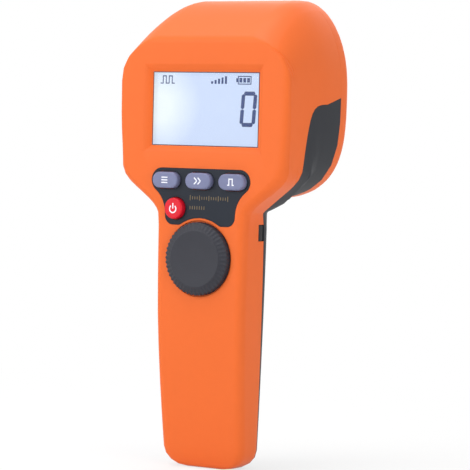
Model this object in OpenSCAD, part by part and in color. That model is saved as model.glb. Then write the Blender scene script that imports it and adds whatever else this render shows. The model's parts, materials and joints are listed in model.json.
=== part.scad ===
// Hand-held LED stroboscope with a hooded head, a display, four keys and a setting dial.
// Frame: the origin is the mouth of the tripod socket in the foot, +X is the viewer's right,
// +Y points along the lamp's beam and +Z is up the handle. The face looks along -Y.

/* [Handle] */
// Height of the neck, where the handle turns into the head
neck_h = 115; // [111:0.5:119]
// Width of the handle at the neck
handle_w = 49.6; // [48:0.2:52]
// Width of the handle at the foot
foot_w = 44.6; // [43.6:0.2:46]
// Depth of the handle at the neck
handle_d = 26.4; // [26:0.2:29]
// Depth of the handle at the foot
foot_d = 19.5; // [19.25:0.25:22]
// How far the front leans back between the dial and the foot
front_lean = 6.8; // [5.5:0.1:7.5]
// Height where the front starts to lean back
lean_h = 79; // [74:1:80]
// Distance of the tripod socket ahead of the middle of the foot
socket_ahead = 2.9; // [2.4:0.1:3]
// Radius of the rear corners of the handle
back_r = 9; // [7:0.5:10]
// Radius of the front edges
crease_r = 4.5; // [3:0.5:6]
// Height of the rounding round the foot
foot_r = 9; // [7:0.5:10]
// How far that rounding draws the foot in
foot_in = 2.6; // [2:0.1:2.8]
// How far it draws the foot in at the sides
foot_side = 11.5; // [9:0.5:12]
// Wall of the shells
wall = 2.2; // [1.8:0.1:2.6]

/* [Head] */
// Height of the brow above the neck
brow_rise = 87; // [84:0.5:92]
// Rounding of the brow, measured along the face
brow_r = 2.6; // [1.5:0.1:4]
// Rise of the crown from the brow to the lamp
crown_rise = 20; // [18:0.2:23]
// Depth of the hood from the face to the lamp bezel
hood_d = 44.5; // [44:0.5:50]
// Width of the head at the face
head_w = 94; // [92:0.5:98]
// Width of the shoulders, where the neck has opened out
shoulder_w = 92; // [88:0.5:93]
// Rise of the flare from the face to the lamp
flare_lift = 9; // [6:0.5:11]
// Height of the shoulders above the neck
shoulder_rise = 27.5; // [26:0.5:30]
// Width of the head at the lamp
lamp_w = 98; // [97:0.5:102]
// Width of the rounded upper corners of the hood
corner_w = 25.5; // [24:0.5:28]
// Height of the rounded upper corners of the hood
corner_h = 21; // [20:0.5:23]
// How much taller those corners are at the lamp
corner_grow = 20; // [16:0.5:22]
// Radius of the fillet between the handle and the head
neck_r = 6; // [5:0.5:8]
// Height of that fillet's centre above the neck
fillet_lift = 5; // [3.5:0.25:5.5]
// Least width of the rear shell under the head
waist_w = 45; // [43:0.5:48]
// Fall of the underside from the lamp to the neck fillet
under_fall = 1.5; // [1:0.25:2.5]
// Distance from the face back to the parting line
part_d = 17.2; // [16.6:0.1:18]
// The same distance at the foot, from the front of the foot
foot_part_d = 13.4; // [13:0.1:14]
// Height of the parting line's tip above the neck
leaf_rise = 61; // [58:0.5:63]

/* [Lamp] */
// Depth of the lamp bezel
bezel_d = 8.5; // [8:0.25:11]
// Thickness of the bezel's rear plate
plate_t = 4; // [3.5:0.25:5]
// Rounding of the bezel's rear edge
bezel_r = 4; // [2:0.5:5]
// Height of the lamp's axis above the neck
lamp_rise = 61; // [60:0.25:62]
// Radius of the lamp mouth as a share of the lamp width
mouth_share = 0.3673469; // [0.36:0.0001:0.375]
// Flare of the opening towards the rear
mouth_flare = 3; // [1:0.5:4]
// Thickness of the lens
lens_t = 2.5; // [2:0.25:3]
// Width of the lens seat
lens_seat = 2; // [1.5:0.25:2.5]
// Thickness of the lens gasket
gasket_t = 0.8; // [0.5:0.1:1.2]
// Number of reflector cups round the middle one
cup_n = 6; // [5:1:6]
// Gap between the middle reflector cup and its neighbours
cup_gap = 2.9; // [2.5:0.1:3.5]
// Edge between the outer reflector cups and the mouth
cup_edge = 0.7; // [0.5:0.1:1.5]
// Throat radius of a cup
throat_r = 4; // [3.5:0.25:5]
// Depth of the reflector
cup_d = 11; // [10:0.5:11.5]
// Wall of a cup
cup_wall = 0.8; // [0.6:0.1:1]
// Thickness of the reflector's flange
flange_t = 2; // [1.5:0.25:2.5]
// Thickness of the emitter board
led_board_t = 1.6; // [1.2:0.2:2]
// Radius of an emitter
led_r = 2.6; // [2:0.1:3]
// Thickness of the heat sink's base
sink_t = 3; // [2.5:0.25:4]
// Depth of the fins
fin_d = 5; // [3:0.5:6]
// Number of fins
fin_n = 11; // [7:2:13]
// Thickness of a fin
fin_t = 1.6; // [1.2:0.1:2]
// Distance of the lamp screws from the mouth
lamp_screw_out = 5.5; // [5:0.25:6]

/* [Display] */
// Height of the display's middle above the neck
display_rise = 54; // [53:0.5:55.5]
// Width of the visible display
view_w = 59; // [56:0.5:60]
// Height of the visible display
view_h = 34.7; // [32:0.1:36]
// Width of the sloped frame round the display
bevel_w = 3.6; // [2.5:0.1:4]
// Depth of the sloped frame
bevel_d = 2.6; // [2.3:0.1:3]
// Overlap of the window behind the frame
window_lap = 2.6; // [2:0.1:3]
// Thickness of the window
window_t = 1.5; // [1:0.1:2]
// Rim of the frame round the window
window_rim = 2; // [1.5:0.1:2.5]
// Thickness of the display glass
glass_t = 2; // [1.6:0.1:2.2]
// Wall of the display's metal frame
lcd_frame_t = 0.6; // [0.4:0.1:0.8]

/* [Keys] */
// Height of the key row above the neck
key_rise = 20.4; // [20:0.1:21]
// Spacing of the keys in the row
key_pitch = 18.4; // [17.5:0.1:19]
// Width of an oval key
key_w = 14.2; // [12:0.1:15]
// Height of an oval key
key_h = 7.6; // [6.5:0.1:8]
// Height of the keys over the face
key_proud = 2.8; // [2.2:0.1:3.2]
// Travel of the keys
key_travel = 0.8; // [0.5:0.1:0.9]
// Width of the collar that keeps a key in
key_collar = 1; // [0.8:0.1:1.2]
// Diameter of the power key
power_d = 10; // [9:0.1:10.4]
// Distance of the power key from the middle
power_x = 13.3; // [12.5:0.1:13.5]
// Height of the power key above the neck
power_rise = 7.2; // [7:0.1:7.6]
// Thickness of the keypad overlay
overlay_t = 0.8; // [0.6:0.1:1]
// Border of the overlay round the keys
overlay_border = 1.9; // [1.4:0.1:2.2]
// Width of the overlay's lower part
overlay_low_w = 38.8; // [38:0.2:39.4]
// Gap between the overlay and the dial's recess
overlay_gap = 1.1; // [0.9:0.1:1.6]
// Radius of the overlay's lobes beside the dial
lobe_r = 4.3; // [3.8:0.1:4.8]
// Depth of the lobes' centres below the power key's centre
lobe_drop = 3.4; // [2.8:0.1:3.8]
// Radius of the waist under the key row
overlay_waist = 14; // [12:0.5:16]
// Rounding of the lips beside the dial
overlay_lip = 3.4; // [2.8:0.1:3.6]
// Side of a key switch
switch_w = 6; // [5:0.25:6.5]
// Height of a key switch
switch_h = 3.6; // [3:0.1:4]
// Radius of a switch plunger
plunger_r = 1.6; // [1.2:0.1:2]

/* [Dial] */
// Depth of the dial's axis below the neck
dial_drop = 16; // [15.5:0.25:17]
// Diameter of the dial
dial_d = 34.4; // [33:0.2:35]
// Diameter of the dial's flat top
dial_top_d = 27; // [24:0.5:29]
// Height of the dial over the face
dial_proud = 3.9; // [3.5:0.1:5]
// Number of flutes
flute_n = 48; // [36:4:60]
// Depth of a flute
flute_d = 0.7; // [0.4:0.1:0.9]
// Drop from the dial's top to its widest ring
rim_drop = 1.6; // [1.4:0.1:2]
// Depth of the hollow in the dial's top
dish_d = 0.6; // [0.3:0.1:0.9]
// Depth of the recess round the dial
recess_d = 1; // [0.6:0.1:1.4]
// Radial gap round the dial
recess_gap = 0.8; // [0.5:0.1:1]
// Diameter of the encoder's shaft
shaft_d = 6; // [5:0.1:6.4]
// Side of the encoder's body
encoder_w = 12.4; // [11:0.2:13]

/* [Electronics] */
// Distance from the face back to the main board
board_y = 9.5; // [9.2:0.1:10]
// Thickness of the boards
board_t = 1.6; // [1.2:0.2:1.6]
// Edge of the main board beyond its screws
board_edge = 2.5; // [2:0.1:3]
// Height of the main board's tail below the dial's middle
tail_drop = 13.5; // [12.5:0.25:14.5]
// Distance between the main board and the boards stacked behind it
stack_gap = 6; // [5.6:0.1:6.4]
// Radius of the board spacers
spacer_r = 2.5; // [2:0.1:3]
// Width of the driver board
driver_w = 56; // [52:0.5:60]
// Height of the driver board
driver_h = 36; // [34:0.5:40]
// Height of the charge board
charge_h = 22; // [21:0.5:23]
// Width of the charging socket's mouth, up the handle
usb_w = 7.5; // [7:0.1:8]
// Thickness of the charging socket
usb_t = 2.6; // [2.4:0.1:3]
// Depth of the charging socket
usb_d = 5.6; // [5:0.1:6.5]
// Depth of the socket's middle below the neck
port_drop = 3.2; // [2.6:0.1:3.8]
// Height of the rubber cover over the socket
cover_h = 7.8; // [7:0.1:9]
// Width of the rubber cover
cover_w = 4.6; // [4.2:0.1:5]
// How far the rubber cover stands out
cover_proud = 0.5; // [0.3:0.1:0.8]

/* [Battery] */
// Width of the battery pack
pack_w = 30; // [26:0.5:31]
// Thickness of the battery pack
pack_t = 10; // [8:0.25:10.5]
// Room between the battery pack and the upper housing screws
pack_room = 7.3; // [7:0.1:9]
// Height of the pack's lower end
pack_z = 17; // [16.5:0.25:18]
// Thickness of the pack's tray
tray_t = 1.2; // [1:0.1:1.4]
// Height of the tray's edges
tray_edge = 5; // [3:0.5:7]

/* [Fasteners] */
// Radius of the small screws' shanks
screw_r = 1.25; // [1:0.05:1.4]
// Radius of the screw heads
head_r = 2.6; // [2.3:0.1:2.8]
// Height of the screw heads
head_h = 1.8; // [1.4:0.1:2]
// Radius of the screw bosses
boss_r = 3.2; // [3:0.1:3.4]
// Distance of the housing screws from the middle
housing_screw_x = 11.5; // [10.5:0.25:12]
// Height of the lower housing screws
housing_screw_low = 10.5; // [10:0.25:11]
// Drop of the upper housing screws below the main board
housing_screw_drop = 8; // [7.5:0.25:9]
// Radius of the tripod bush
bush_r = 4; // [3.8:0.1:4.1]
// Length of the tripod bush
bush_l = 10; // [8:0.25:10.5]
// Radius of the tripod thread's bore
thread_r = 2.6; // [2.5:0.05:3.2]

/* [Fits] */
// Clearance round pieces that drop into a seat
fit = 0.2; // [0.1:0.05:0.3]
// Clearance round pieces that move
run_gap = 0.3; // [0.25:0.05:0.4]
// Clearance of the encoder shaft in its bore
shaft_gap = 0.05; // [0.03:0.01:0.1]
// Gap between housing pieces
joint_gap = 0.1; // [0.05:0.05:0.2]

/* [Hidden] */
$fn = 64;

orange = [0.93, 0.38, 0.1];
dark = [0.2, 0.2, 0.22];
key_grey = [0.62, 0.6, 0.68];
board_green = [0.1, 0.35, 0.2];
steel = [0.72, 0.73, 0.75];

// Places along Y and Z, worked out from the sizes above
foot_front_y = socket_ahead - foot_d / 2;
foot_back_y = socket_ahead + foot_d / 2;
panel_y = foot_front_y - front_lean;
neck_back_y = panel_y + handle_d;
pivot = [neck_back_y + neck_r, neck_h + fillet_lift];
split_y = panel_y + hood_d;
rear_y = split_y + bezel_d;
part_y = panel_y + part_d;
foot_part_y = foot_front_y + foot_part_d;
brow_z = neck_h + brow_rise;
lamp_z = neck_h + lamp_rise;
dial_z = neck_h - dial_drop;
tail_bottom = dial_z - tail_drop;
housing_screw_high = tail_bottom - housing_screw_drop;
pack_l = housing_screw_high - boss_r - pack_room - pack_z;
key_z = neck_h + key_rise;
power_z = neck_h + power_rise;
display_z = neck_h + display_rise;
port_z = neck_h - port_drop;
inner_y = panel_y + wall;
board_front = panel_y + board_y;
board_back = board_front + board_t;
stack_y = board_back + stack_gap;
board_edge_gap = 2;
tail_w = handle_w - 2 * (wall + board_edge_gap);
charge_w = tail_w;

// Small helpers
function lerp(a, b, t) = a + (b - a) * t;
function clamp(t) = min(max(t, 0), 1);
function smooth(t) = let (c = clamp(t)) c * c * (3 - 2 * c);
function smoother(t) = let (c = clamp(t)) c * c * c * (c * (6 * c - 15) + 10);
function fall(q) = 1 - sqrt(1 - pow(clamp(q), 2));
function bezier(a, b, c, t) = a * pow(1 - t, 2) + b * 2 * t * (1 - t) + c * t * t;
function flat(rows) = [for (row = rows) for (p = row) p];
function mirrored(p) = [-p[0], p[1], p[2]];
function backwards(list) = [for (k = [len(list) - 1:-1:0]) list[k]];

// Side view of the housing
lean_power = 1.5;
function front_y(z) = panel_y + front_lean * pow(max(0, lean_h - z) / lean_h, lean_power);
function back_y(z) = lerp(foot_back_y, neck_back_y, min(z / neck_h, 1));
function part_line_y(z) = lerp(foot_part_y, part_y, z / neck_h);
function depth(y) = clamp((y - panel_y) / hood_d);
function crown_z(y) = brow_z + crown_rise * (1 - pow(1 - depth(y), 2));
function crown_slope(y) = 2 * crown_rise * (1 - depth(y)) / hood_d;
function under_z(y) = let (d = min(max(pivot[0] - y, 0), neck_r))
    pivot[1] + sqrt(neck_r * neck_r - d * d) + under_fall * clamp((y - pivot[0]) / (split_y - pivot[0]));

// Half-width of the housing at a point of the side view, drawn in by e at the sides and by draw at the back
taper_power = 1.5;
lamp_power = 3.2;
swell_rise = [28, 50];
function handle_half(z) = lerp(handle_w, foot_w, pow(clamp(1 - z / neck_h), taper_power)) / 2;
flare_start = 1;
function flare_z(y) = neck_h + flare_start + flare_lift * pow(depth(y), 2);
function face_half(y, z) = handle_half(z)
    + (shoulder_w - handle_w) / 2 * smoother((z - flare_z(y)) / (shoulder_rise - flare_start))
    + (head_w - shoulder_w) / 2 * smooth((z - neck_h - swell_rise[0]) / (swell_rise[1] - swell_rise[0]));
function lamp_half(y, z) = let (v = clamp((z - under_z(y)) / (lamp_z - under_z(y))))
    max(waist_w, lamp_w * pow(1 - pow(1 - v, lamp_power), 1 / lamp_power)) / 2;
function lamp_share(y) = smooth(depth(y));
function half_width(y, z, u, e, draw) = let (
        share = lamp_share(y) * smooth((z - neck_h) / neck_r),
        side = lerp(face_half(y, z), lamp_half(y, z), share),
        grow = corner_grow * depth(y),
        crown = (corner_w - e) * fall((z - crown_z(y) + corner_h + grow) / (corner_h + grow - e)),
        back = (back_r - draw) * (1 - share) * fall((back_r - u) / (back_r - draw)))
    side - e - crown - back;

// The housing's skin is a row of ribs. A rib is [inner point, outer point, distance from the inner point to
// the parting line, slant of the rib to the outer face, draw-in at its ends, draw-in at its sides].
foot_steps = 4;
handle_heights = [15, 26, 40, 56, 72, 88, 102, 114];
inside_share = 0.4;
function foot_ribs(e) = [for (k = [0:foot_steps])
    let (a = 90 * k / foot_steps, share = (e > 0 ? inside_share : 1) * (1 - sin(a)))
    handle_rib(e + (foot_r - e) * (1 - cos(a)), foot_in * share, foot_side * share)];
function handle_rib(z, draw, side_draw) =
    [[back_y(z), z], [front_y(z), z], back_y(z) - part_line_y(z), 1, draw, side_draw];
part_power = 4.5;
part_swing = 1.6;
tip_rise = 3.5;
leaf_r = leaf_rise - fillet_lift - tip_rise;
function part_radius(a) = let (r = pivot[0] - part_y + part_swing * sin(a))
    pow(pow(max(cos(a), 0) / r, part_power) + pow(1 / leaf_r, part_power), -1 / part_power);
function fan_rib(outer, normal) = let (
        ray = (outer - pivot) / norm(outer - pivot),
        a = atan2(ray[1], -ray[0]))
    [pivot + neck_r * ray, outer, part_radius(a) - neck_r, max(ray * normal, 0.4), 0, 0];
face_rises = [5, 7, 9.5, 12, 15, 18, 21, 24, 28, 33, 39, 46, 54, 62, 69, 75, 80];
function brow_end() = [panel_y + brow_r * cos(atan(crown_slope(panel_y))),
    brow_z + brow_r * sin(atan(crown_slope(panel_y)))];
function crown_normal(y) = [-crown_slope(y), 1] / norm([crown_slope(y), 1]);
crown_steps = 8;
rear_steps = 2;
function ribs(e) = concat(
    foot_ribs(e),
    [for (z = handle_heights) handle_rib(z, 0, 0)],
    [for (r = face_rises) fan_rib([panel_y, neck_h + r], [-1, 0])],
    [for (t = [0:0.34:0.7]) let (n = lerp([-1, 0], crown_normal(panel_y), t))
        fan_rib(bezier([panel_y, brow_z - brow_r], [panel_y, brow_z], brow_end(), t), n / norm(n))],
    [for (k = [0:crown_steps]) let (y = lerp(brow_end()[0], pivot[0], k / crown_steps))
        fan_rib([y, crown_z(y)], crown_normal(y))],
    [for (k = [1:rear_steps]) rear_rib(lerp(pivot[0], split_y, k / rear_steps), 0)]);
function rear_rib(y, draw) = let (
        part_z = neck_h + leaf_rise - tip_rise * (1 - clamp((y - pivot[0]) / (split_y - pivot[0]))))
    [[y, under_z(y)], [y, crown_z(y)], part_z - under_z(y), 1, draw, draw];

// One half of the ring round a rib, from the inner middle over the parting point to the outer middle
cap_r = 3.5;
least_cap = 1.2;
cap_n = 4;
back_n = 6;
side_n = 10;
part_index = 1 + cap_n + back_n;
function half_ring(rib, e, gap) = let (
        inner = rib[0],
        reach = norm(rib[1] - rib[0]),
        ray = (rib[1] - rib[0]) / reach,
        draw = e + rib[4],
        thin = e + rib[5],
        u0 = draw,
        u9 = reach - draw / rib[3],
        u1 = u0 + min(max(cap_r - draw, least_cap), (rib[2] - u0) / 2),
        u8 = u9 - max(crease_r - draw, least_cap),
        up = rib[2] - gap,
        back_us = [for (k = [1:back_n]) u1 + (up - u1) * (1 - cos(90 * k / back_n))],
        side_us = [for (k = [1:side_n]) up + (u8 - up) * sin(90 * k / side_n)])
    concat(
        [ring_point(inner, ray, 0, u0)],
        backwards(cap_points(inner, ray, thin, draw, u1, u0)),
        [for (u = concat(back_us, side_us)) ring_point(inner, ray, ring_half(inner, ray, u, thin, draw), u)],
        [for (k = [1:cap_n]) cap_points(inner, ray, thin, draw, u8, u9)[k]],
        [ring_point(inner, ray, 0, u9)]);
function ring_point(inner, ray, x, u) = [x, inner[0] + ray[0] * u, inner[1] + ray[1] * u];
function ring_half(inner, ray, u, thin, draw) =
    half_width(inner[0] + ray[0] * u, inner[1] + ray[1] * u, u, thin, draw);
function cap_points(inner, ray, thin, draw, ua, ub) = let (
        step = (ua - ub) / 8,
        xa = ring_half(inner, ray, ua, thin, draw),
        slope = (ring_half(inner, ray, ua + step, thin, draw) - xa) / step,
        xc = min(xa, xa - slope * (ua - ub)),
        xb = min(xa - abs(ua - ub), 2 * xc - xa))
    [for (k = [0:cap_n]) let (p = bezier([xa, ua], [xc, ub], [max(xb, 1), ub], k / cap_n))
        ring_point(inner, ray, p[0], p[1])];
function front_row(half) = let (n = len(half) - 1) concat(
    [for (k = [part_index:n]) half[k]],
    [for (k = [n - 1:-1:part_index]) mirrored(half[k])]);
function rear_row(half) = concat(
    [for (k = [part_index:-1:0]) half[k]],
    [for (k = [1:part_index]) mirrored(half[k])]);
function full_row(half) = let (n = len(half) - 1) concat(
    [for (k = [0:n]) half[k]],
    [for (k = [n - 1:-1:1]) mirrored(half[k])]);

// Two triangles between four points
function quad(a, b, c, d) = [[a, b, c], [a, c, d]];

// Closed shell between an outer and an inner grid of points, open at its parting line and at the lamp
module moulding(outer, inner, turned) {
    rows = len(outer);
    n = len(outer[0]);
    o = function (k, j) k * n + j;
    i = function (k, j) (rows + k) * n + j;
    faces = concat(
        [for (k = [0:rows - 2]) for (j = [0:n - 2])
            each quad(o(k, j), o(k, j + 1), o(k + 1, j + 1), o(k + 1, j))],
        [for (k = [0:rows - 2]) for (j = [0:n - 2])
            each quad(i(k, j), i(k + 1, j), i(k + 1, j + 1), i(k, j + 1))],
        [for (k = [0:rows - 2]) each quad(o(k, 0), o(k + 1, 0), i(k + 1, 0), i(k, 0))],
        [for (k = [0:rows - 2])
            each quad(i(k, n - 1), i(k + 1, n - 1), o(k + 1, n - 1), o(k, n - 1))],
        [for (j = [0:n - 2])
            each quad(i(rows - 1, j), o(rows - 1, j), o(rows - 1, j + 1), i(rows - 1, j + 1))],
        [[for (j = [n - 1:-1:0]) o(0, j)]],
        [[for (j = [0:n - 1]) i(0, j)]],
        [[o(0, 0), i(0, 0), i(0, n - 1), o(0, n - 1)]]);
    polyhedron(concat(flat(outer), flat(inner)), turned ? [for (f = faces) backwards(f)] : faces);
}

// Closed cup between an outer and an inner stack of rings
module cup(outer, inner) {
    n = len(outer[0]);
    first = len(outer) * n;
    last_o = (len(outer) - 1) * n;
    last_i = first + (len(inner) - 1) * n;
    next = function (j) (j + 1) % n;
    faces = concat(
        [for (k = [0:len(outer) - 2]) for (j = [0:n - 1]) let (a = k * n)
            each quad(a + j, a + next(j), a + n + next(j), a + n + j)],
        [for (k = [0:len(inner) - 2]) for (j = [0:n - 1]) let (a = first + k * n)
            each quad(a + j, a + n + j, a + n + next(j), a + next(j))],
        [for (j = [0:n - 1]) each quad(next(j), j, first + j, first + next(j))],
        [[for (j = [0:n - 1]) last_o + j]],
        [[for (j = [n - 1:-1:0]) last_i + j]]);
    polyhedron(concat(flat(outer), flat(inner)), faces);
}

// Closed stack of rings
module stack(rows) {
    n = len(rows[0]);
    last = (len(rows) - 1) * n;
    next = function (j) (j + 1) % n;
    polyhedron(flat(rows), concat(
        [for (k = [0:len(rows) - 2]) for (j = [0:n - 1]) let (a = k * n)
            each quad(a + j, a + next(j), a + n + next(j), a + n + j)],
        [[for (j = [n - 1:-1:0]) j]],
        [[for (j = [0:n - 1]) last + j]]));
}

// A rod along Y from y0 to y1
module rod(r, y0, y1, x, z) {
    translate([x, y0, z]) rotate([-90, 0, 0]) cylinder(r = r, h = y1 - y0);
}

// A cone along Y from radius r0 at y0 to r1 at y1
module taper(r0, r1, y0, y1, x, z) {
    translate([x, y0, z]) rotate([-90, 0, 0]) cylinder(r1 = r0, r2 = r1, h = y1 - y0);
}

// An outline in X and Z, as thick as the way from y0 to y1
module slab(y0, y1) {
    translate([0, y1, 0]) rotate([90, 0, 0]) linear_extrude(y1 - y0) children();
}

// A box with its middle at x and z
module block(w, y0, y1, h, x, z) {
    translate([x - w / 2, y0, z - h / 2]) cube([w, y1 - y0, h]);
}

// A screw along Y with its head at y0, pointing towards +Y or, with way -1, towards -Y
module screw(x, y0, z, length, way) {
    translate([x, y0, z]) rotate([-90 * way, 0, 0]) {
        translate([0, 0, -head_h]) cylinder(r = head_r, h = head_h);
        translate([0, 0, -0.01]) cylinder(r = screw_r, h = length);
    }
}

// An oval outline, round at its short ends
oval_n = 10;
function oval(w, h, x, z) = [for (s = [0, 1]) for (k = [0:oval_n]) let (a = 180 * k / oval_n - 90 + 180 * s)
    [x + (s == 0 ? 1 : -1) * (w - h) / 2 + h / 2 * cos(a), z + h / 2 * sin(a)]];

// Screw places
bezel_up_in = 13.6;
bezel_down_in = 13;
bezel_screw_up = [lamp_w / 2 - bezel_up_in, 32.4];
bezel_screw_down = [lamp_w / 2 - bezel_down_in, -33.5];
function bezel_screws_at() = [for (s = [-1, 1]) for (p = [bezel_screw_up, bezel_screw_down])
    [s * p[0], lamp_z + p[1]]];
mouth_r = lamp_w * mouth_share;
lamp_screw_ring = mouth_r + lamp_screw_out;
cup_ring_r = (mouth_r - cup_edge + cup_gap / 2) / 1.5;
cup_r = (cup_ring_r - cup_gap) / 2;
function lamp_screws_at() = [for (a = [45:90:315])
    [lamp_screw_ring * cos(a), lamp_z + lamp_screw_ring * sin(a)]];
function housing_screws_at() = [for (s = [-1, 1]) for (z = [housing_screw_low, housing_screw_high])
    [s * housing_screw_x, z]];
board_screw_x = view_w / 2 + window_lap + window_rim + boss_r + fit;
board_w = 2 * (board_screw_x + board_edge);
board_screw_low = 16;
board_screw_high = 12;
function board_screws_at() = [for (s = [-1, 1]) for (dz = [-board_screw_low, board_screw_high])
    [s * board_screw_x, display_z + dz]];
bezel_boss_l = 9;
web_t = 2;
up_web = 6.2;
down_web = 6.6;
hole_gap = 0.1;
short_bite = 5;
long_bite = 8;
key_xs = [-key_pitch, 0, key_pitch];
function key_places() = concat([for (x = key_xs) [x, key_z]], [[-power_x, power_z]]);

// Places through the lamp
plate_y = rear_y - plate_t;
lens_back = plate_y - gasket_t;
lens_front = lens_back - lens_t;
cup_front = lens_front - cup_d;
led_front = cup_front - led_board_t;
sink_front = led_front - sink_t;
lens_r = mouth_r + lens_seat;

// Places through the display
view_y = panel_y + bevel_d;
window_back = view_y + window_t;
glass_front = window_back + fit;
glass_w = view_w + 2 * window_lap - 2 * lcd_frame_t - 4 * fit;
glass_h = view_h + 2 * window_lap - 2 * lcd_frame_t - 4 * fit;

// Places under the dial and the keys
recess_r = dial_d / 2 + recess_gap;
recess_floor = panel_y + recess_d;
dial_back = recess_floor - run_gap;
dial_front = panel_y - dial_proud;
well_back = inner_y + 1.2;
shaft_r = shaft_d / 2;
collar_front = inner_y + run_gap / 2;
collar_back = collar_front + 1;
switch_front = board_front - switch_h;
plunger_end = switch_front + 0.6;
overlay_front = panel_y - joint_gap;
overlay_back = overlay_front + overlay_t;

module front_shell() {
    color(orange) difference() {
        union() {
            moulding([for (rib = ribs(0)) front_row(half_ring(rib, 0, 0))],
                [for (rib = ribs(wall)) front_row(half_ring(rib, wall, 0))], false);
            block(view_w + 2 * (window_lap + window_rim), inner_y - 0.5, window_back + 0.6,
                view_h + 2 * (window_lap + window_rim), 0, display_z);
            rod(recess_r + 1, inner_y - 0.5, well_back, 0, dial_z);
            for (p = board_screws_at()) rod(boss_r, inner_y - 0.5, board_front, p[0], p[1]);
            for (p = housing_screws_at())
                rod(boss_r, front_y(p[1]) + wall / 2, part_line_y(p[1]) - 1, p[0], p[1]);
            for (p = bezel_screws_at()) if (p[1] > lamp_z) {
                rod(boss_r, split_y - bezel_boss_l, split_y, p[0], p[1]);
                block(web_t, split_y - bezel_boss_l, split_y, up_web, p[0], p[1] + up_web / 2);
            }
            translate([0, 0, wall / 2]) cylinder(r = bush_r + 1.6, h = bush_l + 1.5 - wall / 2);
        }
        display_cut();
        block(view_w + 2 * (window_lap + fit), view_y, window_back + 2,
            view_h + 2 * (window_lap + fit), 0, display_z);
        rod(recess_r, panel_y - 1, recess_floor, 0, dial_z);
        rod(shaft_r + run_gap, panel_y - 1, well_back + 1, 0, dial_z);
        slab(panel_y - 1, overlay_back + 0.05) overlay_outline(joint_gap);
        slab(panel_y - 1, inner_y + 1) key_outlines(run_gap);
        for (p = board_screws_at()) rod(screw_r + hole_gap, inner_y + 1, board_front + 1, p[0], p[1]);
        for (p = housing_screws_at())
            rod(screw_r + hole_gap, part_line_y(p[1]) - long_bite - 4, part_line_y(p[1]) + 1, p[0], p[1]);
        for (p = bezel_screws_at())
            rod(screw_r + hole_gap, split_y - bezel_boss_l + 1, split_y + 1, p[0], p[1]);
        port_cut();
        translate([0, 0, -1]) cylinder(r = bush_r + shaft_gap, h = bush_l + 1.1);
    }
}

// Sloped frame of the display, as a tapered opening
module display_cut() {
    back = [view_w / 2, view_h / 2];
    front = back + [bevel_w, bevel_w] * (bevel_d + 1) / bevel_d;
    frame = function (size, y) [for (s = [[-1, -1], [1, -1], [1, 1], [-1, 1]])
        [s[0] * size[0], y, display_z + s[1] * size[1]]];
    stack([frame(front, panel_y - 1), frame(back, view_y + 0.01)]);
}

module port_cut() {
    translate([handle_w / 2 - wall - 3, part_line_y(port_z) - cover_w, port_z - cover_h / 2])
        cube([wall + 6, cover_w + 1, cover_h]);
}

module rear_shell() {
    color(dark) difference() {
        union() {
            moulding([for (rib = ribs(0)) rear_row(half_ring(rib, 0, joint_gap))],
                [for (rib = ribs(wall)) rear_row(half_ring(rib, wall, joint_gap))], true);
            for (p = housing_screws_at())
                rod(boss_r, part_line_y(p[1]) + joint_gap, back_y(p[1]) - wall / 2 - 0.7, p[0], p[1]);
            for (p = bezel_screws_at()) if (p[1] < lamp_z) {
                rod(boss_r, split_y - bezel_boss_l, split_y, p[0], p[1]);
                block(down_web, split_y - bezel_boss_l, split_y, web_t,
                    p[0] + sign(p[0]) * down_web / 2, p[1]);
            }
        }
        for (p = housing_screws_at()) {
            rod(screw_r + hole_gap, part_line_y(p[1]) - 1, back_y(p[1]) + 1, p[0], p[1]);
            rod(head_r + fit, housing_head_y(p[1]), back_y(p[1]) + 1, p[0], p[1]);
        }
        for (p = bezel_screws_at())
            rod(screw_r + hole_gap, split_y - bezel_boss_l + 1, split_y + 1, p[0], p[1]);
    }
}
function housing_head_y(z) = back_y(z) - head_h - 1.4;

module lamp_bezel() {
    start = split_y + joint_gap;
    edge_n = 4;
    edge = [for (k = [0:edge_n]) let (a = 90 * k / edge_n)
        [rear_y - bezel_r + bezel_r * sin(a), bezel_r * (1 - cos(a)) * 0.75]];
    outer = [for (p = concat([[start, 0]], edge)) full_row(half_ring(bezel_rib(p[0], p[1]), 0, 0))];
    inner = [for (y = [start, plate_y - 2, plate_y]) full_row(half_ring(bezel_rib(y, 0), wall + 0.2, 0))];
    color(orange) difference() {
        union() {
            cup(outer, inner);
            for (p = bezel_screws_at()) rod(boss_r + 0.8, start, plate_y + 0.5, p[0], p[1]);
            for (p = lamp_screws_at()) rod(boss_r - 0.4, led_front + joint_gap, plate_y + 0.5, p[0], p[1]);
        }
        rod(mouth_r, plate_y - 1, rear_y + 1, 0, lamp_z);
        taper(mouth_r - 0.5, mouth_r + mouth_flare, rear_y - mouth_flare - 0.5, rear_y + 0.02, 0, lamp_z);
        for (p = bezel_screws_at()) {
            rod(screw_r + fit, split_y - 1, rear_y + 1, p[0], p[1]);
            rod(head_r + fit, rear_y - head_h - 0.4, rear_y + 1, p[0], p[1]);
        }
        for (p = lamp_screws_at()) rod(screw_r + hole_gap, led_front - 1, plate_y - 6, p[0], p[1]);
    }
}
function bezel_rib(y, draw) = let (rib = rear_rib(split_y, draw))
    [[y, rib[0][1]], [y, rib[1][1]], rib[2], 1, draw, draw];

module lens() {
    color([0.85, 0.92, 0.95, 0.5]) rod(lens_r - fit, lens_front, lens_back, 0, lamp_z);
}

module lens_gasket() {
    color([0.1, 0.1, 0.1]) difference() {
        rod(lens_r - fit, lens_back, plate_y, 0, lamp_z);
        rod(mouth_r + fit, lens_back - 1, plate_y + 1, 0, lamp_z);
    }
}

function cup_places() = concat([[0, lamp_z]], [for (k = [0:cup_n - 1])
    [cup_ring_r * cos(360 * k / cup_n), lamp_z + cup_ring_r * sin(360 * k / cup_n)]]);

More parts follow.
